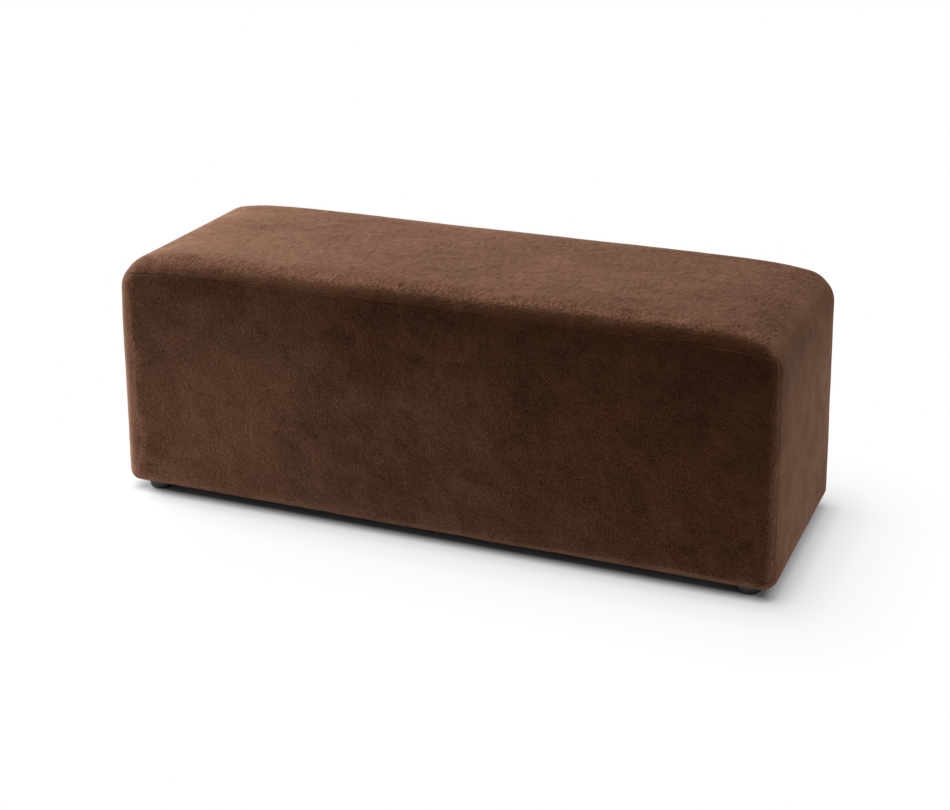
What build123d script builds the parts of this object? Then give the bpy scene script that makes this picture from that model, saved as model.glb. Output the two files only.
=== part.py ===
"""Velvet bench: a timber box frame, padded with foam and wadding, in a close-fitting sewn velvet cover.

X runs along the bench, Y from front to back and Z up. The origin is on the floor, at the middle of the
footprint. Sizes are in millimetres. Left is -X and right is +X, as someone facing the front sees them.
"""

import os

from build123d import *

# Overall sizes
length = 1200.0
depth = 420.0
height = 450.0

# Form of the upholstery
edge_radius = 33.0  # along the sewn edges of the front and back panels
end_radius = 46.0  # where the band turns from the seat down the ends
hem_radius = 14.0  # where the cover turns under the base
shoulder_run = 190.0  # stretch at each end over which the seat falls away
shoulder_drop = 20.0
end_lean = 13.0  # how far each end leans in, from the hem up to the shoulder

# Seam between the band and a panel, seen from the front
top_seam_drop = 27.0  # below the outline of the seat
side_seam_inset = 5.0  # from the outline of the ends
seam_corner_radius = 9.0

# Soft layers
velvet_thickness = 2.0
wadding_thickness = 6.0  # on the flats; it is thicker over the bevelled edges of the foam
side_foam_thickness = 25.0
seat_foam_thickness = 70.0
foam_edge_bevel = 17.0  # under the rolled edges of the front and back
foam_end_bevel = 25.0  # where the seat foam meets the ends
foam_base_bevel = 8.0
layer_gap = 0.3  # between one soft layer and the next
hem_reach = 56.0  # from the outline of the bench to the inner edge of the hem under the base

# Dust cover
dust_cover_thickness = 0.8
dust_cover_margin = 24.0  # from the outline of the bench to the edge of the dust cover
dust_cover_corner = 12.0

# Boards
seat_board_thickness = 15.0
side_board_thickness = 5.0

# Timber frame
rail_width = 30.0
rail_height = 45.0
post_width = 30.0
cross_rail_spacing = 380.0
housing_depth = 8.0  # how far a cross rail is let into the long rails
block_leg = 80.0
block_thickness = 32.0

# Feet
foot_radius = 23.0
foot_height = 15.2
foot_inset_x = 56.0  # from the outline of the bench at its base to the middle of the foot
foot_inset_y = 46.0
foot_edge_bevel = 1.0
foot_bore_radius = 2.75  # for the shank of its screw
foot_recess_radius = 4.85  # for the head of its screw
foot_recess_depth = 4.5

# Modelling allowances
overcut = 1.0  # how far a cutter runs past what it cuts
tolerance = 0.01  # for picking edges and corners by their place

# Levels and half sizes that follow from the sizes above
half_length = length / 2
half_depth = depth / 2
underside = foot_height + dust_cover_thickness
timber_bottom = underside + velvet_thickness
wadding_inset = velvet_thickness + layer_gap
foam_inset = wadding_inset + wadding_thickness + layer_gap
core_inset = foam_inset + side_foam_thickness
core_half_length = half_length - core_inset
core_half_depth = half_depth - core_inset
seat_board_top = height - foam_inset - seat_foam_thickness
seat_board_bottom = seat_board_top - seat_board_thickness
timber_half_length = core_half_length - side_board_thickness
timber_half_depth = core_half_depth - side_board_thickness
bottom_rail_top = timber_bottom + rail_height
top_rail_bottom = seat_board_bottom - rail_height
inner_half_length = timber_half_length - rail_width
inner_half_depth = timber_half_depth - rail_width
cross_rail_x = cross_rail_spacing / 2
hem_half_length = half_length - hem_reach
hem_half_depth = half_depth - hem_reach

SIDES = {"left": -1, "right": 1}
FACES = {"front": -1, "back": 1}
CORNERS = {f"{face}_{side}": (sx, sy) for face, sy in FACES.items() for side, sx in SIDES.items()}


def block(x, y, z):
    """A box between two limits on each axis, given as pairs in either order."""
    size = [abs(b - a) for a, b in (x, y, z)]
    middle = [(a + b) / 2 for a, b in (x, y, z)]
    return Pos(*middle) * Box(*size)


# Upholstered form


def end_x(z):
    """Half length of the bench at a level. It is greatest where the hem begins."""
    widest = underside + hem_radius
    return half_length - end_lean * (z - widest) / (height - shoulder_drop - widest)


def square_outline(inset=0.0):
    """Outline of the bench from the front, drawn in by inset, with its two upper corners still square.

    It is drawn on past the underside, where the hem rounds it off.
    """
    low = underside - hem_radius
    shoulder = height - shoulder_drop
    flat_end = half_length - shoulder_run
    top = Line((-flat_end, height), (flat_end, height))
    fall = TangentArc((flat_end, height), (end_x(shoulder), shoulder), tangent=(1, 0))
    right = [(end_x(shoulder), shoulder), (end_x(low), low)]
    left = [(-x, z) for x, z in reversed(right)]
    face = make_face(Curve() + [top, fall, Polyline(*right, *left), fall.mirror(Plane.YZ)])
    return offset(face, amount=-inset) if inset else face


def upper_corners(outline):
    """The corners of an outline where the seat meets the ends."""
    flat_end = half_length - shoulder_run + tolerance
    return outline.vertices().filter_by(lambda v: v.Y > height / 2 and abs(v.X) > flat_end)


def between_faces(outline, face_y):
    """An outline extruded from the front to the back."""
    return extrude(Plane.XZ * outline, amount=face_y, both=True)


def rim(solid, face_y):
    """Edges round the front and back of an extruded outline, but for those below the underside."""
    low = solid.bounding_box().min.Z
    edges = solid.edges().filter_by(lambda e: abs(abs(e.center().Y) - face_y) < tolerance)
    return edges.filter_by(lambda e: e.center().Z > low + tolerance)


def cut_off(solid, base):
    """What of a solid lies above a level."""
    return solid & block((-length, length), (-depth, depth), (base, 2 * height))


def base_edges(solid, base):
    return solid.edges().filter_by(lambda e: abs(e.bounding_box().max.Z - base) < tolerance)


def form(inset):
    """The upholstered form drawn in by inset all over, as one solid."""
    face_y = half_depth - inset
    base = underside + inset
    outline = square_outline(inset)
    solid = between_faces(fillet(upper_corners(outline), end_radius - inset), face_y)
    solid = cut_off(fillet(rim(solid, face_y), edge_radius - inset), base)
    return fillet(base_edges(solid, base), hem_radius - inset)


def block_form(inset):
    """The space of the foam and all inside it: the form drawn in, with its edges bevelled as foam is cut."""
    face_y = half_depth - inset
    base = underside + inset
    outline = square_outline(inset)
    solid = between_faces(chamfer(upper_corners(outline), foam_end_bevel), face_y)
    solid = cut_off(chamfer(rim(solid, face_y), foam_edge_bevel), base)
    return chamfer(base_edges(solid, base), foam_base_bevel)


def core():
    """Space taken by the boxed frame, under the seat foam and inside the side foam."""
    return block(
        (-core_half_length, core_half_length), (-core_half_depth, core_half_depth), (0, seat_board_top)
    )


# Cover


def seam_prism():
    """A prism inside the front panel's seam, from before the front to behind its rolled edge."""
    region = square_outline(side_seam_inset) & (Pos(0, -top_seam_drop) * square_outline())
    outline = fillet(upper_corners(region), seam_corner_radius)
    face = Plane.XZ.offset(half_depth + overcut) * outline
    return extrude(face, amount=-(overcut + edge_radius))


def front_cutter():
    """Takes the front panel out of the cover: its face inside the seam, and its hem with mitred corners."""
    seam_x = end_x(underside) - side_seam_inset
    mitre = [(seam_x, -depth), (seam_x, edge_radius - half_depth), (hem_half_length, -hem_half_depth)]
    mirrored = [(-x, y) for x, y in reversed(mitre)]
    hem = Pos(0, 0, underside - overcut) * make_face(Polyline(*mitre, *mirrored, close=True))
    return seam_prism() + extrude(hem, amount=overcut + hem_radius, dir=(0, 0, 1))


def velvet():
    """Front panel, back panel and the band that runs up one end, over the seat and down the other."""
    opening = block(
        (-hem_half_length, hem_half_length), (-hem_half_depth, hem_half_depth), (0, timber_bottom + overcut)
    )
    shell = form(0.0) - form(velvet_thickness) - opening
    front = front_cutter()
    back = front.mirror(Plane.XZ)
    return {
        "velvet_front_panel": shell & front,
        "velvet_back_panel": shell & back,
        "velvet_band": shell - front - back,
    }


# Padding


def wadding():
    """Fibre wadding over the foam, as one hood that stops where the frame begins."""
    return form(wadding_inset) - block_form(foam_inset - layer_gap) - core()


def foam():
    """Seat slab and the four side pads. The seat slab caps the pads."""
    whole = block_form(foam_inset) - core()
    over_board = block((-length, length), (-depth, depth), (seat_board_top, 2 * height))
    pads = whole - over_board
    pieces = {"seat_foam": whole & over_board}
    for face, sy in FACES.items():
        region = block((-length, length), (sy * core_half_depth, sy * depth), (0, height))
        pieces[f"{face}_foam"] = pads & region
    for side, sx in SIDES.items():
        region = block((sx * core_half_length, sx * length), (-core_half_depth, core_half_depth), (0, height))
        pieces[f"{side}_foam"] = pads & region
    return pieces


# Boards


def boards():
    """The plywood seat and the four thin boards that close the sides of the frame under it."""
    x = (-core_half_length, core_half_length)
    y = (-core_half_depth, core_half_depth)
    upright = (timber_bottom, seat_board_bottom)
    pieces = {"seat_board": block(x, y, (seat_board_bottom, seat_board_top))}
    for face, sy in FACES.items():
        thickness = (sy * timber_half_depth, sy * core_half_depth)
        pieces[f"{face}_board"] = block(x, thickness, upright)
    for side, sx in SIDES.items():
        thickness = (sx * timber_half_length, sx * core_half_length)
        pieces[f"{side}_board"] = block(thickness, (-timber_half_depth, timber_half_depth), upright)
    return pieces


# Timber frame


def long_rail(sy, low):
    """Front or back rail, half lapped at its ends and housed for the two cross rails."""
    high = low + rail_height
    middle = low + rail_height / 2
    width = (sy * inner_half_depth, sy * timber_half_depth)
    rail = block((-timber_half_length, timber_half_length), width, (low, high))
    for sx in SIDES.values():
        rail -= block((sx * inner_half_length, sx * length), (-depth, depth), (middle, high + overcut))
        rail -= cross_rail(sx, low)
    return rail


def end_rail(sx, low):
    """Rail across an end, lapped over the long rails."""
    high = low + rail_height
    middle = low + rail_height / 2
    width = (sx * inner_half_length, sx * timber_half_length)
    rail = block(width, (-timber_half_depth, timber_half_depth), (low, high))
    for sy in FACES.values():
        rail -= block((-length, length), (sy * inner_half_depth, sy * depth), (low - overcut, middle))
    return rail


def cross_rail(sx, low):
    """Rail from front to back, its ends let into the long rails."""
    x = sx * cross_rail_x
    reach = inner_half_depth + housing_depth
    return block((x - rail_width / 2, x + rail_width / 2), (-reach, reach), (low, low + rail_height))


def rail_frame(level, low):
    """The six rails of one level, by name."""
    pieces = {f"{level}_rail_{face}": long_rail(sy, low) for face, sy in FACES.items()}
    pieces |= {f"{level}_rail_{side}": end_rail(sx, low) for side, sx in SIDES.items()}
    pieces |= {f"{level}_cross_rail_{side}": cross_rail(sx, low) for side, sx in SIDES.items()}
    return pieces


def posts():
    """Uprights between the two frames: one at each corner, and one at each end of the cross rails."""
    upright = (bottom_rail_top, top_rail_bottom)
    pieces = {}
    for corner, (sx, sy) in CORNERS.items():
        y = (sy * (timber_half_depth - post_width), sy * timber_half_depth)
        corner_x = (sx * (timber_half_length - post_width), sx * timber_half_length)
        middle_x = (sx * cross_rail_x - post_width / 2, sx * cross_rail_x + post_width / 2)
        pieces[f"corner_post_{corner}"] = block(corner_x, y, upright)
        pieces[f"middle_post_{corner}"] = block(middle_x, y, upright)
    return pieces


def corner_blocks():
    """Triangular blocks that brace the corners of the bottom frame."""
    pieces = {}
    for corner, (sx, sy) in CORNERS.items():
        x = sx * inner_half_length
        y = sy * inner_half_depth
        face = make_face(Polyline((x, y), (x - sx * block_leg, y), (x, y - sy * block_leg), close=True))
        prism = extrude(Pos(0, 0, timber_bottom) * face, amount=block_thickness, dir=(0, 0, 1))
        pieces[f"corner_block_{corner}"] = prism
    return pieces


# Feet and dust cover


def foot():
    """A moulded foot on its own axis, with a hole and a recess for its screw."""
    up = (Align.CENTER, Align.CENTER, Align.MIN)
    body = Cylinder(foot_radius, foot_height, align=up)
    body = chamfer(body.edges().group_by(Axis.Z)[0], foot_edge_bevel)
    body -= Cylinder(foot_bore_radius, foot_height, align=up)
    return body - Cylinder(foot_recess_radius, foot_recess_depth, align=up)


def feet():
    x = half_length - foot_inset_x
    y = half_depth - foot_inset_y
    return {f"foot_{corner}": Pos(sx * x, sy * y, 0) * foot() for corner, (sx, sy) in CORNERS.items()}


def dust_cover():
    """Thin sheet over the open underside, held between the base and the feet."""
    sheet = RectangleRounded(length - 2 * dust_cover_margin, depth - 2 * dust_cover_margin, dust_cover_corner)
    return extrude(Pos(0, 0, foot_height) * sheet, amount=dust_cover_thickness)


def bench():
    """Every piece of the bench by name."""
    pieces = velvet()
    pieces["wadding"] = wadding()
    pieces |= foam()
    pieces |= boards()
    pieces |= rail_frame("top", top_rail_bottom)
    pieces |= posts()
    pieces |= rail_frame("bottom", timber_bottom)
    pieces |= corner_blocks()
    pieces["dust_cover"] = dust_cover()
    return pieces | feet()


os.makedirs("parts", exist_ok=True)
for name, piece in bench().items():
    export_step(piece, f"parts/{name}.step")
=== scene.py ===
"""Looks of the velvet bench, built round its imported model. Sizes are in metres in the model's own frame:
X along the bench, Y from front to back, Z up, with the floor at zero."""

from math import asin, cos, pi, radians, sin

import bmesh
import bpy
import numpy as np
from mathutils import Matrix, Vector, noise

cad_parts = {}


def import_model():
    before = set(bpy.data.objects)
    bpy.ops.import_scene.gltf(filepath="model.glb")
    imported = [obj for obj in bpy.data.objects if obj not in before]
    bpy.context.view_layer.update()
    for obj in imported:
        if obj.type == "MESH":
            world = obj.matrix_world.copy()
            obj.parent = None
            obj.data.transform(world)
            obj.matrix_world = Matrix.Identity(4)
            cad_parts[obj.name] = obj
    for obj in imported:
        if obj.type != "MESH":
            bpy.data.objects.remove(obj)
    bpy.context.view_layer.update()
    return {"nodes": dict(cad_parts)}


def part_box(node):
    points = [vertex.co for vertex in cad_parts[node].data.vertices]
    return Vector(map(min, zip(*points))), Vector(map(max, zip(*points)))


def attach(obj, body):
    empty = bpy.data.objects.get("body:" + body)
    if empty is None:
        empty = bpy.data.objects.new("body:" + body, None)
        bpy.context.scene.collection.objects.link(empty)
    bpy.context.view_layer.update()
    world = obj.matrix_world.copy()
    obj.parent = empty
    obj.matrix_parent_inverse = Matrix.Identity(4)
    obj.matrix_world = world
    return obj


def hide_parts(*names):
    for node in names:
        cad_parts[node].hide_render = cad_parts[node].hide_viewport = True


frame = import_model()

MM = 0.001

# Extents of the model's cover and frame
half_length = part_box("velvet_band")[1].x
half_depth = -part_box("velvet_front_panel")[0].y
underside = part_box("velvet_band")[0].z
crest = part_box("velvet_band")[1].z
seat_board_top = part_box("seat_board")[1].z
core_half_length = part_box("seat_board")[1].x
core_half_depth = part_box("seat_board")[1].y
sheet_low, sheet_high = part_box("dust_cover")
rail_inner_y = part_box("bottom_rail_back")[0].y
rail_inner_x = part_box("bottom_rail_right")[0].x
cross_rail_low, cross_rail_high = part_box("bottom_cross_rail_right")

# Form of the cover
crown = 2 * MM  # how far the flats of the front, back and seat stand out at their middle
press_limit = 1.2 * MM  # most that the padding presses the velvet out besides
velvet_inset = crown + press_limit
side_radius = 32 * MM  # upright edges of the front and back
top_radius = 44 * MM  # top edges of the front and back
hem_radius = 14 * MM  # where the cover turns under the base
end_radius = 48 * MM  # where the band turns from the seat down the ends
end_hem_radius = 24 * MM
flat_upper_radius = 14 * MM  # corners of the flat of the front, inside its rolled edges
flat_lower_radius = 4 * MM
seat_fall = 20 * MM  # how far the seat falls at its very ends
fall_power = 8.3
end_bulge = 1.3 * MM
end_lean = 13 * MM  # how far the ends lean in from the base to the seat
seam_below_top = 27 * MM
seam_rise = 6 * MM  # how much less the seam lies below the top at its very ends
seam_from_end = 4.9 * MM
seam_corner_power = 8.0  # how tightly the seam turns the top corner
hem_reach = 56 * MM
velvet_thickness = 1.8 * MM
seam_half_gap = 0.02 * MM
seam_steps = np.array([0.0, 1.2, 4.5]) * MM  # closer rows beside the seam
seam_sinks = np.array([0.6, 0.15, 0.0]) * MM  # how far the thread draws those rows in
allowance_steps = (1.2 * MM, 4.5 * MM)  # depths of the turned-in seam edge

# Layers under the cover
layer_gap = 0.4 * MM
wadding_inset = velvet_inset + velvet_thickness + layer_gap
wadding_thickness = 5 * MM
foam_inset = wadding_inset + wadding_thickness + layer_gap
WAVES = [(120 * MM, 0.9 * MM), (35 * MM, 0.3 * MM)]  # size and depth of the unevenness of every layer
core_depth = 45 * MM  # from the cover to the box that the unevenness starts from

# Dust cover and staples
sag_depth = 3 * MM
sheet_thickness = 0.4 * MM
staple_width = 10 * MM
staple_leg = 8 * MM
staple_wire = 0.45 * MM  # radius
staple_lift = 0.1 * MM  # from the model's underside of the dust cover to the middle of the wire
staple_inset = 8 * MM  # from the edge of the dust cover
staple_pitch = 45 * MM

# Feet
foot_bore_radius = 2.75 * MM
foot_recess_radius = 4.85 * MM
foot_recess_depth = 4.5 * MM
foot_recess_bevel = 0.4 * MM
foot_rounding_height = 6.5 * MM
foot_rounding_reach = 5.5 * MM
foot_taper = 0.3 * MM  # how much narrower the foot is over its rounded edge than at its top
FOOT_RIM = [(0, 1.6 * MM), (0.3 * MM, 0.5 * MM), (0.9 * MM, 0)]  # upper edge: how far in and how far down

# Velvet pile
pile_depth = 0.4 * MM
hair_relief = 0.7  # shares of that depth
fuzz_relief = 0.5
mottle_relief = 1.2
patch_scale = 7  # brushed patches in a metre
mottle_scale = 24  # mottles in a metre
swirl_scale = 38  # bends of the streaks in a metre
fuzz_scale = 420  # specks of the fuzz in a metre
swirl_reach = 12 * MM  # how far the streaks are bent aside
STREAKS = [  # turn, length and width of the streaks on the front, the ends and the seat
    ((0, -1.3, 0), 5 * MM, 1.9 * MM),
    ((0, -1.37, pi / 2), 16 * MM, 5 * MM),
    ((0, 0, 1.25), 17 * MM, 2.9 * MM),
]
front_hair_contrast = 0.45  # contrasts are parts of the colour, lighter or darker
end_hair_contrast = 0.25
seat_hair_contrast = 0.7
fuzz_contrast = 0.4
patch_contrast = 0.2
mottle_contrast = 0.2
green_swing = 0.12  # how much more green and blue follow the light and dark marks than red does
blue_swing = 0.25
# Painted light near the hem and near the ends of the front and back
painted_hem_light_height = 28 * MM  # how far up from the hem the velvet is painted lighter
painted_end_light_width = 60 * MM  # the same from the ends of the front and back
painted_end_light_full = 12 * MM  # from the ends, where it is lightest
painted_light_strength = 0.4
FACE_SPAN = (0.55, 0.85)  # part of a direction along Z or X where the brushing of that face sets in
FRONT_PAINTED_SHADE = (0.2, 0.4, 1.03, 0.8)  # painted shade: a low and a high place, and how light the velvet is painted at each
END_PAINTED_SHADE = (0.26, 0.4, 1.12, 0.65)
painted_seam_shade = 0.3  # painted shade in the seam: how light the velvet is painted there
PAINTED_SEAM_SHADE_SPAN = (0.35, 0.6, 1, 0.25)  # low and high brushing, and the seam's share of that shade
PILE_SHEEN = (0.25, 0.144, 0.096)
PAINTED_SHEEN_COLOURS = [  # painted sheen: base colours from where the pile is seen end on to where it is seen from the side
    (0.0, (0.042, 0.0155, 0.006)),
    (0.1, (0.0405, 0.0152, 0.006)),
    (0.16, (0.057, 0.0228, 0.01)),
    (0.22, (0.08, 0.035, 0.0195)),
    (0.27, (0.16, 0.08, 0.049)),
    (0.32, (0.168, 0.079, 0.05)),
    (0.42, (0.13, 0.06, 0.0365)),
    (0.55, (0.127, 0.0565, 0.0325)),
    (0.67, (0.1, 0.047, 0.0285)),
    (0.74, (0.084, 0.041, 0.0265)),
    (0.8, (0.12, 0.058, 0.0375)),
    (1.0, (0.2, 0.11, 0.075)),
]

# Mesh steps
corner_steps = 5  # in each half of a corner
half_top_steps = 46
side_steps = 26
hem_steps = 5  # between a bottom corner and the inner edge of the hem
roll_rows = 8  # from the flat of the front to the rows beside the seam
band_rows = 15  # from the rows beside the seam to mid depth

turn_steps = 2 * corner_steps
wide = 2 * (half_top_steps + corner_steps)
tall = side_steps + 2 * corner_steps
around = 2 * (wide + tall)


# Loops round the bench, seen from the front


def stations():
    """Stations of the right half of a loop, from the middle of the top to that of the bottom."""
    found = [("top", k / half_top_steps) for k in range(half_top_steps)]
    found += [("upper", k / turn_steps) for k in range(turn_steps)]
    found += [("side", k / side_steps) for k in range(side_steps)]
    found += [("lower", k / turn_steps) for k in range(turn_steps)]
    found += [("hem", k / hem_steps) for k in range(hem_steps)]
    open_steps = half_top_steps - hem_steps
    return found + [("open", k / open_steps) for k in range(open_steps + 1)]


STATIONS = stations()
loop_start = half_top_steps + turn_steps + side_steps + corner_steps


def whole_loop(right_half, mirror=1):
    """Closes a right half with its mirror image. The loop starts at the lower left corner and runs up."""
    values = np.array(right_half)
    return np.roll(np.concatenate([values, values[-2:0:-1] * mirror]), loop_start, axis=0)


def station_point(kind, k, half_x, low, high, upper, lower):
    """X and Z of a station on a rounded rectangle."""
    turn = k * pi / 2
    open_x = half_length - hem_reach
    if kind == "top":
        return k * (half_x - upper), high
    if kind == "upper":
        return half_x - upper * (1 - cos(turn - pi / 2)), high - upper * (1 - cos(turn))
    if kind == "side":
        return half_x, high - upper + k * (low + lower - high + upper)
    if kind == "lower":
        return half_x - lower * (1 - cos(turn)), low + lower * (1 - sin(turn))
    if kind == "hem":
        return half_x - lower + k * (open_x - half_x + lower), low
    return open_x * (1 - k), low


def rounded_loop(half_x, low, high, upper, lower):
    """X and Z of a rounded rectangle at every station of the loop."""
    right_half = [station_point(kind, k, half_x, low, high, upper, lower) for kind, k in STATIONS]
    return whole_loop(right_half, mirror=np.array([-1, 1]))


def mitre_depth(inset):
    """Depth behind the front of the mitre under the base, at an inset from the end."""
    start = side_radius * (1 - cos(asin(1 - seam_from_end / side_radius)))
    share = (inset - seam_from_end) / (hem_reach - seam_from_end)
    return start + (hem_reach - start) * min(share, 1)


def seam_distance(kind, k, roll):
    """Distance round the rolled edge from the flat of the front to the seam, at a station."""
    turn = k * pi / 2
    side_seam = side_radius * asin(1 - seam_from_end / side_radius)
    under = hem_radius * pi / 2 - hem_radius
    end_share = end_radius / half_length
    along = {"top": k * (1 - end_share), "upper": 1 - end_share * (1 - sin(turn))}
    below = seam_below_top - seam_rise * along.get(kind, 1) ** fall_power
    if kind == "top":
        drop = below
    elif kind == "upper":
        to_top = (cos(turn) / (end_radius - below)) ** seam_corner_power
        to_end = (sin(turn) / (end_radius - seam_from_end)) ** seam_corner_power
        drop = max(end_radius - (to_top + to_end) ** (-1 / seam_corner_power), seam_from_end)
    elif kind == "side":
        drop = seam_from_end
    elif kind == "lower":
        return side_seam + k * (under + mitre_depth(end_hem_radius) - side_seam)
    elif kind == "hem":
        return under + mitre_depth(end_hem_radius + k * (hem_reach - end_hem_radius))
    else:
        return under + hem_reach
    return roll * asin(1 - drop / roll)


class Form:
    """The upholstered form drawn in by an inset: its outline, and the edge of its flat front inside that."""

    def __init__(self, inset):
        self.front = inset - half_depth
        self.outer = rounded_loop(
            half_length - inset,
            underside + inset,
            crest - inset,
            end_radius - inset,
            end_hem_radius - inset,
        )
        self.inner = rounded_loop(
            half_length - side_radius,
            underside + hem_radius,
            crest - top_radius,
            flat_upper_radius,
            flat_lower_radius,
        )
        self.roll = np.linalg.norm(self.outer - self.inner, axis=1)
        self.out = (self.outer - self.inner) / self.roll[:, None]
        self.middle = self.roll * pi / 2 - self.front - self.roll  # distance to mid depth

    def at(self, distance):
        """Points at distances round the rolled edge, one row of the array for each turn round the loop."""
        angle = np.minimum(distance / self.roll, pi / 2)
        plan = self.inner + self.out * (self.roll * np.sin(angle))[..., None]
        depth = self.roll * (1 - np.cos(angle)) + np.maximum(distance - self.roll * pi / 2, 0)
        return np.stack([plan[..., 0], self.front + depth, plan[..., 1]], axis=-1)

    def inward(self, distance):
        """Directions into the padding at those points."""
        angle = np.minimum(distance / self.roll, pi / 2)
        plan = -self.out * np.sin(angle)[..., None]
        return np.stack([plan[..., 0], np.cos(angle), plan[..., 1]], axis=-1)

    def cap(self):
        """The flat of the front as a grid of points across and up, spanned between its edges."""
        edge = self.at(np.zeros((1, around)))[0]
        ring = np.concatenate([edge, edge[:1]])
        left = ring[: tall + 1]
        top = ring[tall : tall + wide + 1]
        right = ring[tall + wide : 2 * tall + wide + 1][::-1]
        bottom = ring[2 * tall + wide :][::-1]
        u = np.linspace(0, 1, wide + 1)[:, None, None]
        v = np.linspace(0, 1, tall + 1)[None, :, None]
        ruled = (1 - v) * bottom[:, None] + v * top[:, None] + (1 - u) * left[None] + u * right[None]
        corners = (1 - u) * ((1 - v) * left[0] + v * left[-1]) + u * ((1 - v) * right[0] + v * right[-1])
        return (ruled - corners)[1:-1, 1:-1].reshape(-1, 3)


def cap_faces(first_row, first_inner):
    """Faces of the cap: its edge is a row of the loop, and the points inside it come after all rows."""
    index = np.full((wide + 1, tall + 1), -1)
    index[0, :] = np.arange(tall + 1)
    index[:, -1] = tall + np.arange(wide + 1)
    index[-1, ::-1] = tall + wide + np.arange(tall + 1)
    index[::-1, 0] = (2 * tall + wide + np.arange(wide + 1)) % around
    index += first_row
    index[1:-1, 1:-1] = first_inner + np.arange((wide - 1) * (tall - 1)).reshape(wide - 1, tall - 1)
    corners = [index[:-1, :-1], index[1:, :-1], index[1:, 1:], index[:-1, 1:]]
    return np.stack(corners, axis=-1).reshape(-1, 4)


def strip_faces(rows, columns=slice(None)):
    """Faces between the rows of points whose numbers are given, for some or all columns."""
    index = np.array(rows)[:, None] * around + np.arange(around)
    after = np.roll(index, -1, axis=1)
    quads = np.stack([index[:-1], after[:-1], after[1:], index[1:]], axis=-1)
    return quads[:, columns].reshape(-1, 4)


is_open = whole_loop([kind == "open" for kind, k in STATIONS]).astype(bool)
sewn_column = ~(is_open & np.roll(is_open, -1))


# Meshes


def shaped(points):
    """Points of the plain form with crowned flats, bulged ends and the seat that falls away at them."""
    height = crest - underside
    along = points[..., 0] / half_length
    across = points[..., 1] / half_depth
    rise = 2 * (points[..., 2] - underside) / height - 1
    fall = seat_fall * np.abs(along) ** fall_power - crown * (1 - along**4) * (1 - across**2)
    stand_out = crown * (1 - along**4) * (1 - rise**4) * across**3
    moved = points.copy()
    moved[..., 0] -= (end_bulge * rise**2 + end_lean * (rise + 1) / 2) * along
    moved[..., 1] += stand_out
    moved[..., 2] -= fall * (rise + 1) / 2
    return moved


def linked(name, data):
    """An object of some data, linked to the scene."""
    made = bpy.data.objects.new(name, data)
    bpy.context.scene.collection.objects.link(made)
    return made


def built(name, mesh):
    """An object from a bmesh, which is freed."""
    data = bpy.data.meshes.new(name)
    mesh.to_mesh(data)
    mesh.free()
    return linked(name, data)


def mesh_object(name, points, faces, creased=None):
    """An object from an array of points and one of faces, without the points that no face uses."""
    used, index = np.unique(faces, return_inverse=True)
    mesh = bpy.data.meshes.new(name)
    mesh.from_pydata(points.reshape(-1, 3)[used].tolist(), [], index.reshape(faces.shape).tolist())
    mesh.shade_smooth()
    if creased is not None:
        crease = mesh.attributes.new("crease", "FLOAT", "POINT")
        crease.data.foreach_set("value", creased.ravel()[used].astype(np.float32))
    return linked(name, mesh)


def applied(piece, kind, **settings):
    """Adds a modifier and makes its result the piece's mesh."""
    modifier = piece.modifiers.new(kind, kind)
    for key, value in settings.items():
        setattr(modifier, key, value)
    shown = piece.evaluated_get(bpy.context.evaluated_depsgraph_get())
    old = piece.data
    piece.data = bpy.data.meshes.new_from_object(shown)
    piece.modifiers.clear()
    bpy.data.meshes.remove(old)
    piece.data.name = piece.name
    return piece


def read_points(mesh):
    """A mesh's points as an array."""
    flat = np.empty(len(mesh.vertices) * 3)
    mesh.vertices.foreach_get("co", flat)
    return flat.reshape(-1, 3)


def write_points(mesh, points):
    """Moves a mesh's points to those of an array."""
    mesh.vertices.foreach_set("co", points.ravel())
    mesh.update()


# Cover


def held_points(piece):
    """True at the points on the open edges of a piece and in its seam."""
    mesh = bmesh.new()
    mesh.from_mesh(piece.data)
    found = np.array([vertex.is_boundary for vertex in mesh.verts])
    mesh.free()
    crease = np.empty(len(found), np.float32)
    piece.data.attributes["crease"].data.foreach_get("value", crease)
    return found | (crease > 0.5)


def filled_out(piece, pinned, limit):
    """Lets the padding press a panel out between its pinned points, by no more than a limit."""
    frames = 20
    before = read_points(piece.data)
    group = piece.vertex_groups.new(name="pinned")
    group.add(np.flatnonzero(pinned).tolist(), 1.0, "REPLACE")
    modifier = piece.modifiers.new("Cloth", "CLOTH")
    cloth = modifier.settings
    cloth.quality = 5
    cloth.mass = 0.3
    cloth.tension_stiffness = 15
    cloth.compression_stiffness = 15
    cloth.shear_stiffness = 5
    cloth.bending_stiffness = 2
    cloth.vertex_group_mass = "pinned"
    cloth.use_pressure = True
    cloth.uniform_pressure_force = 0.3
    cloth.effector_weights.gravity = 0
    modifier.collision_settings.use_collision = False
    modifier.point_cache.frame_end = frames
    for number in range(1, frames + 1):
        bpy.context.scene.frame_set(number)
    shown = piece.evaluated_get(bpy.context.evaluated_depsgraph_get())
    after = read_points(shown.data)
    piece.modifiers.clear()
    piece.vertex_groups.clear()
    bpy.context.scene.frame_set(1)
    moved = after - before
    size = np.linalg.norm(moved, axis=1, keepdims=True)
    nearly_none = 1e-9
    write_points(piece.data, before + moved * limit * np.tanh(size / limit) / np.maximum(size, nearly_none))


def waved(piece):
    """Adds the smooth random waves, away from a box inside the padding."""
    points = read_points(piece.data)
    height = np.zeros(len(points))
    for size, depth in WAVES:
        height += [depth * noise.noise(Vector(point) / size) for point in points]
    core = np.array([half_length, half_depth, (crest - underside) / 2]) - core_depth
    apart = points - (0, 0, (crest + underside) / 2)
    apart -= np.clip(apart, -core, core)
    away = apart / np.linalg.norm(apart, axis=1, keepdims=True)
    write_points(piece.data, points + away * height[:, None])


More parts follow.
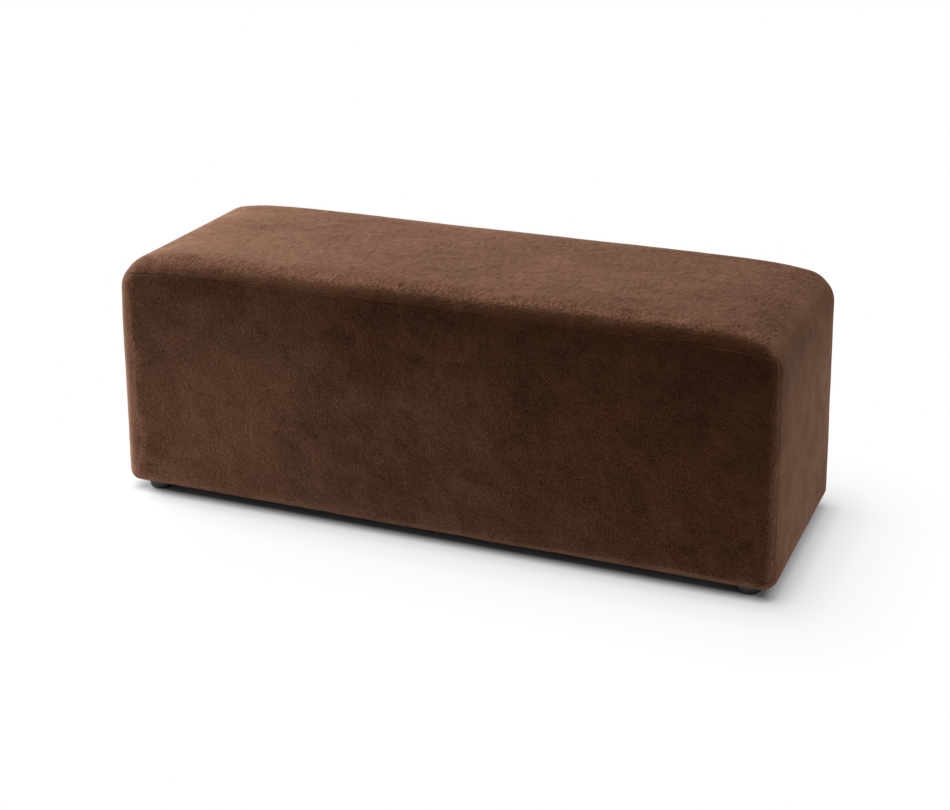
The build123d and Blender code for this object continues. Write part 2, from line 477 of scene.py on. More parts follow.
def cover_form():
    """The cover's form and the distance of its seam at each sample round the loop."""
    form = Form(velvet_inset)
    right_rolls = np.roll(form.roll, -loop_start)
    seam = [seam_distance(kind, k, roll) for (kind, k), roll in zip(STATIONS, right_rolls)]
    return form, whole_loop(seam)


def front_panel(name, facing):
    """The front panel, or the back one where facing is 1."""
    form, seam = cover_form()
    seam = seam - seam_half_gap
    flat = np.linspace(0, 1, roll_rows + 1)[:, None] * (seam - seam_steps[-1])
    distances = np.concatenate([flat, [seam - step for step in seam_steps[-2::-1]]])
    rows = form.at(distances)
    rows[-len(seam_sinks) :] += form.inward(distances[-len(seam_sinks) :]) * seam_sinks[::-1, None, None]
    allowance = [rows[-1] + form.inward(seam) * depth for depth in allowance_steps]
    rows = np.concatenate([rows, allowance])
    last = len(distances) - 1
    points = np.concatenate([rows.reshape(-1, 3), form.cap()])
    creased = np.zeros(len(points))
    creased[last * around : len(rows) * around] = 1
    faces = [
        strip_faces(range(last + 1)),
        strip_faces(range(last, len(rows)), sewn_column),
        cap_faces(0, len(rows) * around),
    ]
    points = shaped(points) * (1, -facing, 1)
    faces = np.concatenate(faces)[:, :: -facing]
    return mesh_object(name, points, faces, creased)


def band(name):
    """The strip between the two panels, with the turned-in edge of its seam on each side."""
    form, seam = cover_form()
    seam = seam + seam_half_gap
    first = seam + seam_steps[-1]
    share = np.linspace(0, 1, band_rows + 1)[:, None]
    near_seam = [seam + step for step in seam_steps[:-1]]
    distances = np.concatenate([near_seam, first + share * (form.middle - first)])
    rows = form.at(distances)
    rows[: len(seam_sinks)] += form.inward(distances[: len(seam_sinks)]) * seam_sinks[:, None, None]
    allowance = [rows[0] + form.inward(seam) * depth for depth in allowance_steps[::-1]]
    front_half = np.concatenate([allowance, rows])
    rows = np.concatenate([front_half, front_half[-2::-1] * (1, -1, 1)])
    creased = np.zeros(rows.shape[:2])
    creased[: len(allowance) + 1] = 1
    creased[-len(allowance) - 1 :] = 1
    return mesh_object(name, shaped(rows), strip_faces(range(len(rows)), sewn_column), creased)


def finished_cover(piece, node):
    """Fills a cover piece out, makes it smooth and uneven, and gives it the velvet's thickness."""
    filled_out(piece, held_points(piece), press_limit)
    applied(piece, "SUBSURF", levels=1, render_levels=1)
    waved(piece)
    applied(piece, "SOLIDIFY", thickness=velvet_thickness, offset=-1)
    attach(piece, "root")
    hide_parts(node)
    return piece


def cover():
    """The three sewn pieces of velvet."""
    front = finished_cover(front_panel("front_cover", -1), "velvet_front_panel")
    back = finished_cover(front_panel("back_cover", 1), "velvet_back_panel")
    around_ends = finished_cover(band("band_cover"), "velvet_band")
    for piece in (front, back):
        piece.data.materials.append(velvet_material("velvet_panel"))
    around_ends.data.materials.append(velvet_material("velvet_band"))


# Padding


def closed_form(name, inset):
    """The whole upholstered form drawn in by an inset, as one closed mesh."""
    form = Form(inset)
    share = np.linspace(0, 1, roll_rows + 1)[:, None]
    quarter = form.roll * pi / 2
    straight = quarter + np.linspace(0, 1, band_rows + 1)[1:, None] * (form.middle - quarter)
    front_half = form.at(np.concatenate([share * quarter, straight]))
    rows = np.concatenate([front_half, front_half[-2::-1] * (1, -1, 1)])
    cap = form.cap()
    count = len(rows) * around
    points = np.concatenate([rows.reshape(-1, 3), cap, cap * (1, -1, 1)])
    faces = [
        strip_faces(range(len(rows))),
        cap_faces(0, count),
        cap_faces((len(rows) - 1) * around, count + len(cap))[:, ::-1],
    ]
    piece = mesh_object(name, shaped(points), np.concatenate(faces))
    waved(piece)
    return piece


def kept_side(piece, limits):
    """Cuts a piece flat at each limit, an axis and a signed distance, and keeps what lies short of it."""
    mesh = bmesh.new()
    mesh.from_mesh(piece.data)
    for axis, sign, reach in limits:
        normal = Vector((0, 0, 0))
        normal[axis] = sign
        geometry = mesh.verts[:] + mesh.edges[:] + mesh.faces[:]
        spot = normal * reach
        cut = bmesh.ops.bisect_plane(mesh, geom=geometry, plane_co=spot, plane_no=normal, clear_outer=True)
        rim = [item for item in cut["geom_cut"] if isinstance(item, bmesh.types.BMEdge)]
        bmesh.ops.edgeloop_fill(mesh, edges=rim)
    mesh.to_mesh(piece.data)
    mesh.free()
    return piece


def box_object(name, half_x, half_y, low, high):
    """A box about the middle of the bench, from a low to a high place."""
    mesh = bmesh.new()
    bmesh.ops.create_cube(mesh, size=2)
    bmesh.ops.scale(mesh, vec=(half_x, half_y, (high - low) / 2), verts=mesh.verts)
    bmesh.ops.translate(mesh, vec=(0, 0, (low + high) / 2), verts=mesh.verts)
    return built(name, mesh)


def carve(piece, cutter, **settings):
    """Takes a cutter out of a piece and removes the cutter."""
    applied(piece, "BOOLEAN", operation="DIFFERENCE", object=cutter, solver="EXACT", **settings)
    bpy.data.objects.remove(cutter)


def padding():
    """The wadding under the cover, and the five foams under the wadding."""
    hood = closed_form("wadding_hood", wadding_inset)
    carve(hood, closed_form("hollow", foam_inset - layer_gap))
    carve(hood, box_object("core", core_half_length, core_half_depth, 0, seat_board_top))
    seat = kept_side(closed_form("seat_pad", foam_inset), [(2, -1, -seat_board_top)])
    pads = {"wadding": hood, "seat_foam": seat}
    for name, sign in {"front": -1, "back": 1}.items():
        limits = [(2, 1, seat_board_top), (1, -sign, -core_half_depth)]
        pads[f"{name}_foam"] = kept_side(closed_form(f"{name}_pad", foam_inset), limits)
    for name, sign in {"left": -1, "right": 1}.items():
        limits = [(2, 1, seat_board_top), (0, -sign, -core_half_length)]
        limits += [(1, 1, core_half_depth), (1, -1, core_half_depth)]
        pads[f"{name}_foam"] = kept_side(closed_form(f"{name}_pad", foam_inset), limits)
    for node, piece in pads.items():
        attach(piece, "root")
        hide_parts(node)
        piece.data.materials.append(wadding_material() if node == "wadding" else foam_material())


# Dust cover and its staples


def under_cover():
    """The thin sheet stapled over the open underside. It sags a little between the rails."""
    columns, rows = 150, 60
    lift = (sheet_high.z - sheet_low.z) / 2
    middle_bay = (-cross_rail_low.x, cross_rail_low.x)
    bays = [(-rail_inner_x, -cross_rail_high.x), middle_bay, (cross_rail_high.x, rail_inner_x)]
    x = np.linspace(sheet_low.x, sheet_high.x, columns)
    y = np.linspace(sheet_low.y, sheet_high.y, rows)
    across = np.clip((rail_inner_y - np.abs(y)) / rail_inner_y, 0, 1)
    along = sum(np.clip((x - low) * (high - x) * 4 / (high - low) ** 2, 0, 1) for low, high in bays)
    sag = sag_depth * along[:, None] * np.sin(across * pi / 2)[None] ** 2
    grid = np.stack(np.broadcast_arrays(x[:, None], y[None], sheet_low.z + lift - sag), axis=-1)
    index = np.arange(columns * rows).reshape(columns, rows)
    corners = [index[:-1, :-1], index[:-1, 1:], index[1:, 1:], index[1:, :-1]]
    piece = mesh_object("under_cover", grid, np.stack(corners, axis=-1).reshape(-1, 4))
    applied(piece, "SOLIDIFY", thickness=sheet_thickness, offset=0)
    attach(piece, "root")
    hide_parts("dust_cover")
    piece.data.materials.append(sheet_material())


def staples():
    """Wire staples that hold the dust cover, a row along each of its edges."""
    curve = bpy.data.curves.new("staples", "CURVE")
    curve.dimensions = "3D"
    curve.bevel_depth = staple_wire
    curve.bevel_resolution = 1
    curve.use_fill_caps = True

    def staple(x, y, along):
        """Adds a staple whose legs point up."""
        low = sheet_low.z + staple_lift
        reach = staple_width / 2
        offsets = [(-reach, staple_leg), (-reach, 0), (reach, 0), (reach, staple_leg)]
        spline = curve.splines.new("POLY")
        spline.points.add(len(offsets) - 1)
        for point, (shift, rise) in zip(spline.points, offsets):
            point.co = (x + along[0] * shift, y + along[1] * shift, low + rise, 1)

    def row(edge):
        """Places along a row that ends a pitch short of an edge on each side."""
        reach = edge - staple_pitch
        return np.linspace(-reach, reach, round(2 * reach / staple_pitch) + 1)

    end_x, end_y = sheet_high.x - staple_inset, sheet_high.y - staple_inset
    for x in row(end_x):
        staple(x, -end_y, (1, 0))
        staple(x, end_y, (1, 0))
    for y in row(end_y):
        staple(-end_x, y, (0, 1))
        staple(end_x, y, (0, 1))
    tube = linked("staples", curve)
    mesh = bpy.data.meshes.new_from_object(tube.evaluated_get(bpy.context.evaluated_depsgraph_get()))
    bpy.data.objects.remove(tube)
    piece = linked("dust_cover_staples", mesh)
    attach(piece, "root")
    piece.data.materials.append(steel_material())


# Feet and screws


def turned(mesh, outline, steps=20, ring=False):
    """Adds a solid of revolution about Z from an outline of radii and heights.

    The outline starts and ends on the axis, or it is closed and makes a ring.
    """
    rings = []
    for radius, height in outline:
        if radius == 0:
            rings.append([mesh.verts.new((0, 0, height))])
            continue
        turns = [2 * pi * k / steps for k in range(steps)]
        rings.append([mesh.verts.new((radius * cos(turn), radius * sin(turn), height)) for turn in turns])
    for low, high in zip(rings, rings[1:] + rings[: 1 if ring else 0]):
        for k in range(steps):
            lower = [low[turn % len(low)] for turn in (k, k + 1)]
            upper = [high[turn % len(high)] for turn in (k + 1, k)]
            mesh.faces.new(dict.fromkeys(lower + upper))


def screw_outline(shank, head, head_height, length, countersunk):
    """Radii and heights of a screw that points up, its head's face at zero, with ridges for a thread."""
    core = shank * 0.72
    thread_end = length * 0.9
    pitch = shank * 0.65
    if countersunk:
        outline = [(0, 0), (head, 0), (head, 0.3 * MM), (core, head_height)]
    else:
        outline = [(0, 0), (head * 0.7, head_height * 0.15), (head * 0.95, head_height * 0.5)]
        outline += [(head, head_height), (core, head_height)]
    height = head_height + pitch
    while height + pitch < thread_end:
        outline += [(core, height), (shank, height + pitch * 0.25), (core, height + pitch * 0.5)]
        height += pitch
    return outline + [(core, thread_end), (0, length)]


def screw(name, shank, head, head_height, length, countersunk=False):
    """A screw with a cross recess. Its shank and head are given by their radii."""
    mesh = bmesh.new()
    turned(mesh, screw_outline(shank, head, head_height, length, countersunk))
    bmesh.ops.recalc_face_normals(mesh, faces=mesh.faces)
    piece = built(name, mesh)
    reach, width, sink = head * 0.55, head * 0.13, head_height * 0.5
    cross = bmesh.new()
    for half_x, half_y in ((reach, width), (width, reach)):
        bar = bmesh.ops.create_cube(cross, size=2)["verts"]
        bmesh.ops.scale(cross, vec=(half_x, half_y, sink), verts=bar)
    carve(piece, built("cross", cross), use_self=True)
    return piece


def copy_screw(name, source, spots):
    """Makes one object of copies of a screw, at each spot, a place and a direction for its shank."""
    mesh = bmesh.new()
    for spot, direction in spots:
        turn = Vector((0, 0, 1)).rotation_difference(Vector(direction)).to_matrix().to_4x4()
        part = source.data.copy()
        part.transform(Matrix.Translation(spot) @ turn)
        mesh.from_mesh(part)
        bpy.data.meshes.remove(part)
    bpy.data.objects.remove(source)
    piece = built(name, mesh)
    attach(piece, "root")
    piece.data.materials.append(steel_material())


def foot_outline(radius, top):
    """Radii and heights of a foot: its bore and recess, its rounded lower edge and its rim."""
    rounding_steps = 8
    outline = [(foot_bore_radius, top), (foot_bore_radius, foot_recess_depth)]
    outline += [(foot_recess_radius, foot_recess_depth), (foot_recess_radius, foot_recess_bevel)]
    outline.append((foot_recess_radius + foot_recess_bevel, 0))
    for k in range(rounding_steps + 1):
        turn = k / rounding_steps * pi / 2
        reach = foot_taper + foot_rounding_reach * (1 - sin(turn))
        outline.append((radius - reach, foot_rounding_height * (1 - cos(turn))))
    return outline + [(radius - reach, top - drop) for reach, drop in FOOT_RIM]


def feet():
    """Moulded feet with a rounded lower edge and a recess for the screw's head."""
    for name in [name for name in frame["nodes"] if name.startswith("foot_")]:
        low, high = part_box(name)
        middle = (low + high) / 2
        mesh = bmesh.new()
        turned(mesh, foot_outline((high.x - low.x) / 2, high.z), steps=64, ring=True)
        bmesh.ops.translate(mesh, vec=(middle.x, middle.y, 0), verts=mesh.verts)
        bmesh.ops.recalc_face_normals(mesh, faces=mesh.faces)
        piece = built("glide_" + name, mesh)
        piece.data.shade_smooth()
        piece.data.set_sharp_from_angle(angle=radians(40))
        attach(piece, "root")
        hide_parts(name)
        piece.data.materials.append(plastic_material())


def screws():
    """Screws that hold the feet, and those that hold the seat board to the rails under it."""
    corners = [(sx, sy) for sx in (-1, 1) for sy in (-1, 1)]
    up, down = (0, 0, 1), (0, 0, -1)
    low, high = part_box("foot_back_right")
    foot = (low + high) / 2
    head_height = 1.3 * MM
    head_face = foot_recess_depth - head_height
    spots = [((sx * foot.x, sy * foot.y, head_face), up) for sx, sy in corners]
    source = screw("foot_screw", shank=2.2 * MM, head=4.5 * MM, head_height=head_height, length=38 * MM)
    copy_screw("foot_screws", source, spots)
    rail_x = (rail_inner_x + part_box("bottom_rail_right")[1].x) / 2
    rail_y = (rail_inner_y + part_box("bottom_rail_back")[1].y) / 2
    cross_x = (cross_rail_low.x + cross_rail_high.x) / 2
    places = [(sx * x, sy * rail_y) for sx, sy in corners for x in (rail_x, cross_x)]
    places += [(0, -rail_y), (0, rail_y), (-rail_x, 0), (rail_x, 0)]
    source = screw(
        "board_screw",
        shank=2 * MM,
        head=4 * MM,
        head_height=2.6 * MM,
        length=40 * MM,
        countersunk=True,
    )
    copy_screw("seat_board_screws", source, [((x, y, seat_board_top), down) for x, y in places])


# Materials

NOISE_SPAN = (0.3, 0.7)  # between these lies most of a noise
FIBRE_SPAN = (0.25, 0.75)  # the same for the finest ones


def node(tree, kind, inputs=None, **settings):
    """Adds a shader node. Its inputs are values, or other nodes' outputs."""
    made = tree.nodes.new("ShaderNode" + kind)
    for key, value in settings.items():
        setattr(made, key, value)
    for key, value in (inputs or {}).items():
        if isinstance(value, bpy.types.NodeSocket):
            tree.links.new(value, made.inputs[key])
        else:
            made.inputs[key].default_value = value
    return made


def new_material(name):
    """A material with an empty node tree, its output and a Principled shader."""
    material = bpy.data.materials.new(name)
    material.use_nodes = True
    tree = material.node_tree
    tree.nodes.clear()
    shader = node(tree, "BsdfPrincipled")
    node(tree, "OutputMaterial", {"Surface": shader.outputs["BSDF"]})
    return material, tree, shader


def place(tree, stretch=(1, 1, 1), turn=(0, 0, 0)):
    """The object's own coordinates. What is drawn on them is stretched, and then turned."""
    source = node(tree, "TexCoord").outputs["Object"]
    inputs = {"Vector": source, "Rotation": turn, "Scale": stretch}
    return node(tree, "Mapping", inputs, vector_type="TEXTURE").outputs["Vector"]


def cloud(tree, vector, scale, detail=2.0, roughness=0.5, distortion=0.0):
    """Smooth noise, as one value."""
    inputs = {"Vector": vector, "Scale": scale, "Detail": detail}
    inputs |= {"Roughness": roughness, "Distortion": distortion}
    return node(tree, "TexNoise", inputs).outputs["Fac"]


def maths(tree, operation, first, *others):
    """A sum, product or the like of two or more values, taken in turn, or a function of one value."""
    result = first
    for value in others or (0,):
        result = node(tree, "Math", {0: result, 1: value}, operation=operation).outputs["Value"]
    return result


def split(tree, vector):
    """The parts of a vector, by "X", "Y" and "Z"."""
    return node(tree, "SeparateXYZ", {"Vector": vector}).outputs


def span(tree, value, low, high, to_low=0.0, to_high=1.0):
    """A value carried over from one range to another, and held at its ends."""
    inputs = {"Value": value, "From Min": low, "From Max": high, "To Min": to_low, "To Max": to_high}
    return node(tree, "MapRange", inputs).outputs["Result"]


def ramp(tree, value, stops):
    """Colours by value, from a list of places and colours."""
    made = node(tree, "ValToRGB", {"Fac": value})
    points = made.color_ramp.elements
    points[0].position, points[1].position = stops[0][0], stops[-1][0]
    points[0].color, points[1].color = (*stops[0][1], 1), (*stops[-1][1], 1)
    for position, colour in stops[1:-1]:
        points.new(position).color = (*colour, 1)
    return made.outputs["Color"]


def mixed(tree, share, a, b, blend="MIX"):
    """One colour or value blended with another by a share."""
    made = node(tree, "Mix", data_type="RGBA", blend_type=blend)
    for index, value in {0: share, 6: a, 7: b}.items():
        if isinstance(value, bpy.types.NodeSocket):
            tree.links.new(value, made.inputs[index])
        else:
            made.inputs[index].default_value = value
    return made.outputs[2]


def bumped(tree, height, depth, strength=1.0):
    """The surface's direction with a fine relief."""
    inputs = {"Height": height, "Distance": depth, "Strength": strength}
    return node(tree, "Bump", inputs).outputs["Normal"]


def fibres(tree, source, turn, length, width):
    """Hair-like streaks that lie along one direction."""
    inputs = {"Vector": source, "Rotation": turn, "Scale": (length / width, 1, 1)}
    along = node(tree, "Mapping", inputs, vector_type="TEXTURE").outputs["Vector"]
    return cloud(tree, along, 1 / width, detail=2, roughness=0.6)


def pile_fibres(tree, on_end, on_top):
    """The hairs of the pile, which lie as they were brushed on each face, and its finer fuzz."""
    start = node(tree, "TexCoord").outputs["Object"]
    swirl = node(tree, "TexNoise", {"Vector": start, "Scale": swirl_scale, "Detail": 1.0}).outputs["Color"]
    inputs = {0: swirl, 1: [swirl_reach] * 3, 2: start}
    source = node(tree, "VectorMath", inputs, operation="MULTIPLY_ADD").outputs["Vector"]
    front_hairs, end_hairs, top_hairs = [fibres(tree, source, *streak) for streak in STREAKS]
    hairs = mixed(tree, on_top, mixed(tree, on_end, front_hairs, end_hairs), top_hairs)
    return hairs, cloud(tree, source, fuzz_scale, detail=2, roughness=0.7)


def painted_light_and_shade(tree, on_end, on_top, brushed):
    """Painted light and shade on the pile by its place: painted light near the hem and the ends of the front
    and back, painted shade towards the top of the front and ends, and painted shade in the seam.
    """
    spot = split(tree, node(tree, "TexCoord").outputs["Object"])
    sideways = maths(tree, "ABSOLUTE", spot["X"])
    end_light_span = (half_length - painted_end_light_width, half_length - painted_end_light_full)
    near_end = span(tree, sideways, *end_light_span, 0, painted_light_strength)
    on_face = span(tree, maths(tree, "MAXIMUM", on_end, on_top), 0, 1, 1, 0)
    near_hem = span(tree, spot["Z"], underside, underside + painted_hem_light_height, painted_light_strength, 0)
    # Painted light near the ends of the front and back and near the hem
    glow = maths(tree, "MAXIMUM", maths(tree, "MULTIPLY", near_end, on_face), near_hem)
    # Painted shade: the front and ends darker towards the top
    painted_height_shade = mixed(tree, on_end, span(tree, spot["Z"], *FRONT_PAINTED_SHADE), span(tree, spot["Z"], *END_PAINTED_SHADE))
    # Painted shade in the seam, weaker where the brushing is high
    crease = node(tree, "Attribute", attribute_name="crease").outputs["Fac"]
    crease = maths(tree, "MULTIPLY", crease, span(tree, brushed, *PAINTED_SEAM_SHADE_SPAN))
    painted_height_shade = mixed(tree, on_top, painted_height_shade, (1, 1, 1, 1))
    return maths(tree, "ADD", glow, 1), painted_height_shade, span(tree, crease, 0, 1, 1, painted_seam_shade)


def velvet_material(name):
    """Brushed pile with a painted sheen: dark where it is seen end on and pale where it is seen from the
    side, with painted light and shade by place.
    """
    material, tree, shader = new_material(name)
    normal = split(tree, node(tree, "TexCoord").outputs["Normal"])
    on_top = span(tree, maths(tree, "ABSOLUTE", normal["Z"]), *FACE_SPAN)
    on_end = span(tree, maths(tree, "ABSOLUTE", normal["X"]), *FACE_SPAN)
    patches = place(tree, (1.4, 0.8, 1.2))
    brushed = cloud(tree, patches, patch_scale, detail=3, roughness=0.55, distortion=0.8)
    mottles = place(tree, (1.3, 1, 1.3))
    mottled = cloud(tree, mottles, mottle_scale, detail=4, roughness=0.62, distortion=0.6)
    hairs, fuzz = pile_fibres(tree, on_end, on_top)
    relief = maths(
        tree,
        "ADD",
        span(tree, hairs, *NOISE_SPAN, 0, hair_relief),
        span(tree, fuzz, *NOISE_SPAN, 0, fuzz_relief),
        span(tree, mottled, *NOISE_SPAN, 0, mottle_relief),
    )
    tufts = bumped(tree, relief, pile_depth)
    strength = maths(
        tree,
        "ADD",
        span(tree, on_end, 0, 1, front_hair_contrast, end_hair_contrast),
        span(tree, on_top, 0, 1, 0, seat_hair_contrast - front_hair_contrast),
    )
    shade = maths(
        tree,
        "ADD",
        span(tree, brushed, *NOISE_SPAN, 1 - patch_contrast, 1 + patch_contrast),
        span(tree, mottled, *NOISE_SPAN, -mottle_contrast, mottle_contrast),
        maths(tree, "MULTIPLY", span(tree, hairs, *FIBRE_SPAN, -1, 1), strength),
        span(tree, fuzz, *FIBRE_SPAN, -fuzz_contrast, fuzz_contrast),
    )
    # Painted light and shade by place, laid over the pile's marks
    shade = maths(tree, "MULTIPLY", shade, *painted_light_and_shade(tree, on_end, on_top, brushed))
    # Dark places are redder than pale ones
    green = span(tree, shade, 0, 2, -green_swing, 2 + green_swing)
    blue = span(tree, shade, 0, 2, -blue_swing, 2 + blue_swing)
    tint = node(tree, "CombineColor", {"Red": shade, "Green": green, "Blue": blue}).outputs["Color"]
    # Painted sheen: the base colour follows how squarely the bumped pile faces the view
    facing = node(tree, "LayerWeight", {"Blend": 0.5, "Normal": tufts}).outputs["Facing"]
    colour = mixed(tree, 1.0, ramp(tree, facing, PAINTED_SHEEN_COLOURS), tint, blend="MULTIPLY")
    tree.links.new(colour, shader.inputs["Base Color"])
    tree.links.new(tufts, shader.inputs["Normal"])
    shader.inputs["Roughness"].default_value = 0.95
    shader.inputs["Specular IOR Level"].default_value = 0.02
    shader.inputs["Sheen Weight"].default_value = 1
    shader.inputs["Sheen Roughness"].default_value = 0.5
    shader.inputs["Sheen Tint"].default_value = (*PILE_SHEEN, 1)
    return material


def plain_material(name, colour, roughness, grain, depth, metallic=0.0):
    """A material with a fine even grain in its colour and relief."""
    material, tree, shader = new_material(name)
    speck = cloud(tree, place(tree), grain, detail=3, roughness=0.6)
    dark = [channel * 0.75 for channel in colour]
    light = [min(channel * 1.25, 1) for channel in colour]
    tree.links.new(ramp(tree, speck, [(0.3, dark), (0.7, light)]), shader.inputs["Base Color"])
    shader.inputs["Roughness"].default_value = roughness
    shader.inputs["Metallic"].default_value = metallic
    tree.links.new(bumped(tree, speck, depth, 0.5), shader.inputs["Normal"])
    return material


def wadding_material():
    """White fleece."""
    return plain_material("wadding", (0.8, 0.8, 0.78), roughness=0.95, grain=180, depth=1 * MM)


def foam_material():
    """Yellowish open-cell foam."""
    return plain_material("foam", (0.75, 0.66, 0.42), roughness=0.9, grain=900, depth=0.4 * MM)


def sheet_material():
    """Black non-woven cloth."""
    return plain_material("sheet", (0.02, 0.02, 0.021), roughness=0.85, grain=700, depth=0.2 * MM)


def steel_material():
    """Bright steel of the screws and staples."""
    steel = (0.6, 0.6, 0.58)
    return plain_material("steel", steel, roughness=0.35, grain=300, depth=0.05 * MM, metallic=1.0)


def plastic_material():
    """Black moulded plastic of the feet."""
    return plain_material("plastic", (0.012, 0.012, 0.013), roughness=0.42, grain=900, depth=0.05 * MM)


def timber_material(axis):
    """Sawn pine whose grain runs along an axis."""
    material, tree, shader = new_material("pine_" + "xyz"[axis])
    stretch = [1.0, 1.0, 1.0]
    stretch[axis] = 18.0  # how much longer the figure is along the grain
    grain = cloud(tree, place(tree, stretch), 66, detail=5, roughness=0.6, distortion=0.8)
    fibre = cloud(tree, place(tree, stretch), 520, detail=3, roughness=0.6)
    rings = maths(tree, "SINE", maths(tree, "MULTIPLY", grain, 30.0))
    figure = maths(tree, "ADD", span(tree, rings, -1, 1, 0, 0.7), span(tree, fibre, *NOISE_SPAN, 0, 0.3))
    colours = [(0, (0.62, 0.42, 0.22)), (0.6, (0.55, 0.34, 0.16)), (1, (0.38, 0.2, 0.08))]
    tree.links.new(ramp(tree, figure, colours), shader.inputs["Base Color"])
    shader.inputs["Roughness"].default_value = 0.7
    tree.links.new(bumped(tree, figure, 0.2 * MM, 0.4), shader.inputs["Normal"])
    return material


def plywood_material():
    """Birch plywood: a face veneer, and layers that show on the edges."""
    material, tree, shader = new_material("plywood")
    grain = cloud(tree, place(tree, (14, 1, 1)), 90, detail=4, roughness=0.6, distortion=1.2)
    ply_pair = 6 * MM  # thickness of a pale and a dark layer
    height = split(tree, place(tree))["Z"]
    layers = maths(tree, "SINE", maths(tree, "MULTIPLY", height, 2 * pi / ply_pair))
    plies = span(tree, layers, -0.2, 0.2, 0, 0.5)
    figure = maths(tree, "ADD", plies, span(tree, grain, *NOISE_SPAN, 0, 0.5))
    colours = [(0, (0.68, 0.5, 0.31)), (0.5, (0.58, 0.4, 0.23)), (1, (0.4, 0.24, 0.12))]
    tree.links.new(ramp(tree, figure, colours), shader.inputs["Base Color"])
    shader.inputs["Roughness"].default_value = 0.65
    tree.links.new(bumped(tree, grain, 0.15 * MM, 0.4), shader.inputs["Normal"])
    return material


def hardboard_material():
    """Brown pressed board of the sides."""
    return plain_material("hardboard", (0.24, 0.13, 0.065), roughness=0.6, grain=420, depth=0.05 * MM)


def dress(names, material):
    """Gives nodes of the model a material."""
    for name in names:
        for slot in frame["nodes"][name].material_slots:
            slot.material = material


def dress_frame():
    """Wood for the frame and boards, with the grain of each timber along its length."""
    pine = [timber_material(axis) for axis in range(3)]
    levels = ("bottom", "top")
    dress([f"{level}_rail_{side}" for level in levels for side in ("front", "back")], pine[0])
    crosswise = ("rail_left", "rail_right", "cross_rail_left", "cross_rail_right")
    dress([f"{level}_{name}" for level in levels for name in crosswise], pine[1])
    dress([name for name in frame["nodes"] if "post" in name], pine[2])
    dress([name for name in frame["nodes"] if name.startswith("corner_block_")], pine[0])
    dress(["seat_board"], plywood_material())
    dress([f"{side}_board" for side in ("front", "back", "left", "right")], hardboard_material())


# Floor, light and camera

ambient = 0.22  # level of the even light
floor_half_side = 12
shadow_inset = 30 * MM  # from the outline to where the floor starts to pale
SHADOW_FADE = [(0.0, 0.0), (0.03, 0.42), (0.06, 0.7), (0.12, 0.88), (0.24, 1.0)]  # distance, share of white
PAINTED_FLOOR_SHADOW_GREYS = [(0.0, 0.5), (0.03, 0.8)]  # painted shadow, the floor darker near and under the bench: distance, grey


def greys(stops):
    """Stops of a ramp of greys."""
    return [(position, (grey, grey, grey)) for position, grey in stops]


def background_rays(tree):
    """1 or more for the rays that see the background: from the camera, a mirror or glass."""
    path = node(tree, "LightPath")
    seen = maths(tree, "ADD", path.outputs["Is Camera Ray"], path.outputs["Is Glossy Ray"])
    return maths(tree, "ADD", seen, path.outputs["Is Transmission Ray"])


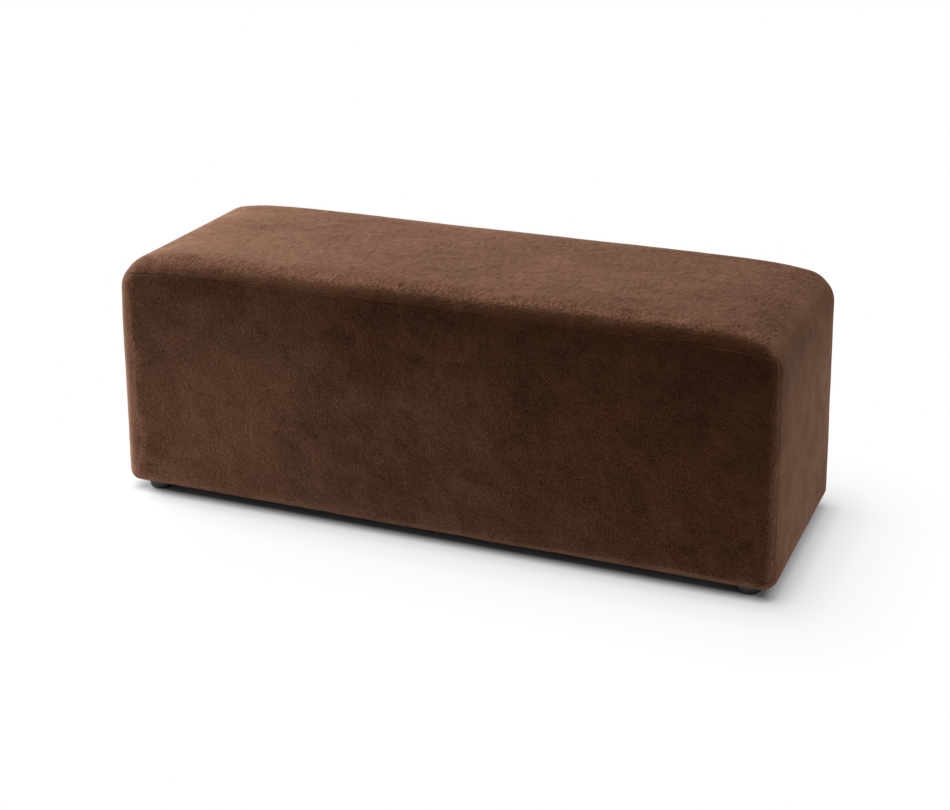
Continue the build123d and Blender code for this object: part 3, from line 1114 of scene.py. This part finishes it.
def floor():
    """A pale floor that is white from afar and keeps the bench's shadow near it, with a painted shadow that
    darkens it near and under the bench.
    """
    mesh = bpy.data.meshes.new("floor")
    signs = [(-1, -1), (1, -1), (1, 1), (-1, 1)]
    corners = [(sx * floor_half_side, sy * floor_half_side, 0) for sx, sy in signs]
    mesh.from_pydata(corners, [], [(0, 1, 2, 3)])
    piece = linked("floor", mesh)
    material, tree, shader = new_material("floor")
    shader.inputs["Roughness"].default_value = 1
    shader.inputs["Specular IOR Level"].default_value = 0
    half_sides = (half_length - shadow_inset, half_depth - shadow_inset, 0)
    beyond = node(tree, "VectorMath", {0: place(tree)}, operation="ABSOLUTE").outputs["Vector"]
    beyond = node(tree, "VectorMath", {0: beyond, 1: half_sides}, operation="SUBTRACT").outputs["Vector"]
    beyond = node(tree, "VectorMath", {0: beyond, 1: (0, 0, 0)}, operation="MAXIMUM").outputs["Vector"]
    distance = node(tree, "VectorMath", {0: beyond}, operation="LENGTH").outputs["Value"]
    share = ramp(tree, distance, greys(SHADOW_FADE))
    # Painted shadow: a darker grey near and under the bench
    tree.links.new(ramp(tree, distance, greys(PAINTED_FLOOR_SHADOW_GREYS)), shader.inputs["Base Color"])
    seen = maths(tree, "MINIMUM", background_rays(tree), 1)
    glow = node(tree, "Emission", {"Color": (1, 1, 1, 1), "Strength": 1.0}).outputs["Emission"]
    inputs = {0: maths(tree, "MULTIPLY", seen, share), 1: shader.outputs["BSDF"], 2: glow}
    blend = node(tree, "MixShader", inputs).outputs["Shader"]
    tree.links.new(blend, tree.nodes["Material Output"].inputs["Surface"])
    mesh.materials.append(material)


def area_light(name, spot, size, level):
    """A square soft light that looks at the bench. At level 1 a colour that faces it renders as it is."""
    target = Vector((0, 0, 0.25))
    data = bpy.data.lights.new(name, "AREA")
    data.shape = "SQUARE"
    data.size = size
    reach = target - Vector(spot)
    data.energy = level * 4 * pi * reach.length_squared
    lamp = linked(name, data)
    lamp.location = spot
    lamp.rotation_mode = "QUATERNION"
    lamp.rotation_quaternion = reach.to_track_quat("-Z", "Y")


def world():
    """A white background, and a dimmer even light from it."""
    made = bpy.data.worlds.new("studio")
    bpy.context.scene.world = made
    made.use_nodes = True
    tree = made.node_tree
    tree.nodes.clear()
    strength = span(tree, background_rays(tree), 0, 1, ambient, 1)
    shader = node(tree, "Background", {"Color": (1, 1, 1, 1), "Strength": strength})
    node(tree, "OutputWorld", {"Surface": shader.outputs["Background"]})


def camera():
    """The photo's viewpoint, to the right of the front and a little above."""
    azimuth, elevation, lean = radians(22.266), radians(22.025), radians(-0.172)
    distance = 3.111
    target = Vector((0.003, 0, 0.176))
    data = bpy.data.cameras.new("camera")
    data.lens = 67.16
    piece = linked("camera", data)
    back = Vector((sin(azimuth) * cos(elevation), -cos(azimuth) * cos(elevation), sin(elevation)))
    piece.location = target + back * distance
    piece.rotation_mode = "QUATERNION"
    level = (-back).to_track_quat("-Z", "Y")
    piece.rotation_quaternion = Matrix.Rotation(lean, 3, back).to_quaternion() @ level
    bpy.context.scene.camera = piece


cover()
padding()
under_cover()
staples()
feet()
screws()
dress_frame()
floor()
world()
area_light("above", (-0.35, -0.55, 2.6), size=2.2, level=0.63)
area_light("left", (-2.3, 0.3, 0.8), size=1.2, level=1.1)
area_light("right", (2.3, 0.9, 0.5), size=1.2, level=0.18)
camera()
bpy.context.scene.view_settings.view_transform = "Standard"
